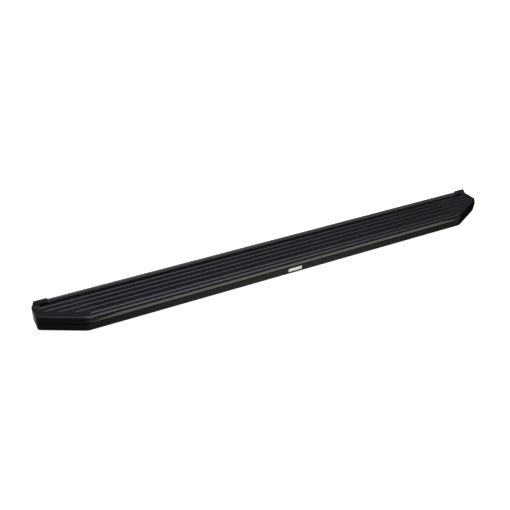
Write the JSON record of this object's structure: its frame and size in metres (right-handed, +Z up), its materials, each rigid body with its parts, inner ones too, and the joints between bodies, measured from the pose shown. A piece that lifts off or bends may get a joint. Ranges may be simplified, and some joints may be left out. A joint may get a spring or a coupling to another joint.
{
  "type": "running board",
  "caption": "Long hollow aluminium running board with a ridged tread, chamfered moulded end caps, a raised rear lip seal and sliding bracket bolts in slots underneath",
  "frame": {"origin": "middle of the length and depth of the whole board, on the floor it rests on", "axes": "+X along the board, +Y towards the vehicle (the side with the raised lip), +Z up"},
  "size_m": [2.007, 0.168, 0.076],
  "materials": {
    "black_powder_coat": "fine-textured black powder coat on extruded aluminium",
    "satin_black_trim": "smooth satin black",
    "black_moulded_plastic": "moulded black plastic with a fine grain",
    "seal_rubber": "smooth black rubber with a soft sheen",
    "zinc_plated_steel": "bright zinc plate",
    "black_oxide_steel": "black oxide",
    "satin_silver_plate": "blank satin silver"
  },
  "bodies": {
    "board": {"deck_extrusion": "black_powder_coat", "accent_strip": "satin_black_trim", "rear_seal": "seal_rubber", "end_cap_left": "black_moulded_plastic", "end_cap_right": "black_moulded_plastic", "name_plate": "satin_silver_plate", "cap_screw_front_left": "black_oxide_steel", "cap_screw_rear_left": "black_oxide_steel", "cap_screw_front_right": "black_oxide_steel", "cap_screw_rear_right": "black_oxide_steel"},
    "fastener_front_left": {"slot_bolt_front_left": "zinc_plated_steel", "slot_washer_front_left": "zinc_plated_steel", "slot_nut_front_left": "zinc_plated_steel"},
    "fastener_front_middle": {"slot_bolt_front_middle": "zinc_plated_steel", "slot_washer_front_middle": "zinc_plated_steel", "slot_nut_front_middle": "zinc_plated_steel"},
    "fastener_front_right": {"slot_bolt_front_right": "zinc_plated_steel", "slot_washer_front_right": "zinc_plated_steel", "slot_nut_front_right": "zinc_plated_steel"},
    "fastener_rear_left": {"slot_bolt_rear_left": "zinc_plated_steel", "slot_washer_rear_left": "zinc_plated_steel", "slot_nut_rear_left": "zinc_plated_steel"},
    "fastener_rear_middle": {"slot_bolt_rear_middle": "zinc_plated_steel", "slot_washer_rear_middle": "zinc_plated_steel", "slot_nut_rear_middle": "zinc_plated_steel"},
    "fastener_rear_right": {"slot_bolt_rear_right": "zinc_plated_steel", "slot_washer_rear_right": "zinc_plated_steel", "slot_nut_rear_right": "zinc_plated_steel"}
  },
  "joints": [
    {"name": "slide_front_left", "type": "slide", "parent": "board", "child": "fastener_front_left", "axis": [1, 0, 0], "range_m": [-0.25, 0.26]},
    {"name": "slide_front_middle", "type": "slide", "parent": "board", "child": "fastener_front_middle", "axis": [1, 0, 0], "range_m": [-0.26, 0.26]},
    {"name": "slide_front_right", "type": "slide", "parent": "board", "child": "fastener_front_right", "axis": [1, 0, 0], "range_m": [-0.26, 0.25]},
    {"name": "slide_rear_left", "type": "slide", "parent": "board", "child": "fastener_rear_left", "axis": [1, 0, 0], "range_m": [-0.25, 0.26]},
    {"name": "slide_rear_middle", "type": "slide", "parent": "board", "child": "fastener_rear_middle", "axis": [1, 0, 0], "range_m": [-0.26, 0.26]},
    {"name": "slide_rear_right", "type": "slide", "parent": "board", "child": "fastener_rear_right", "axis": [1, 0, 0], "range_m": [-0.26, 0.25]}
  ]
}
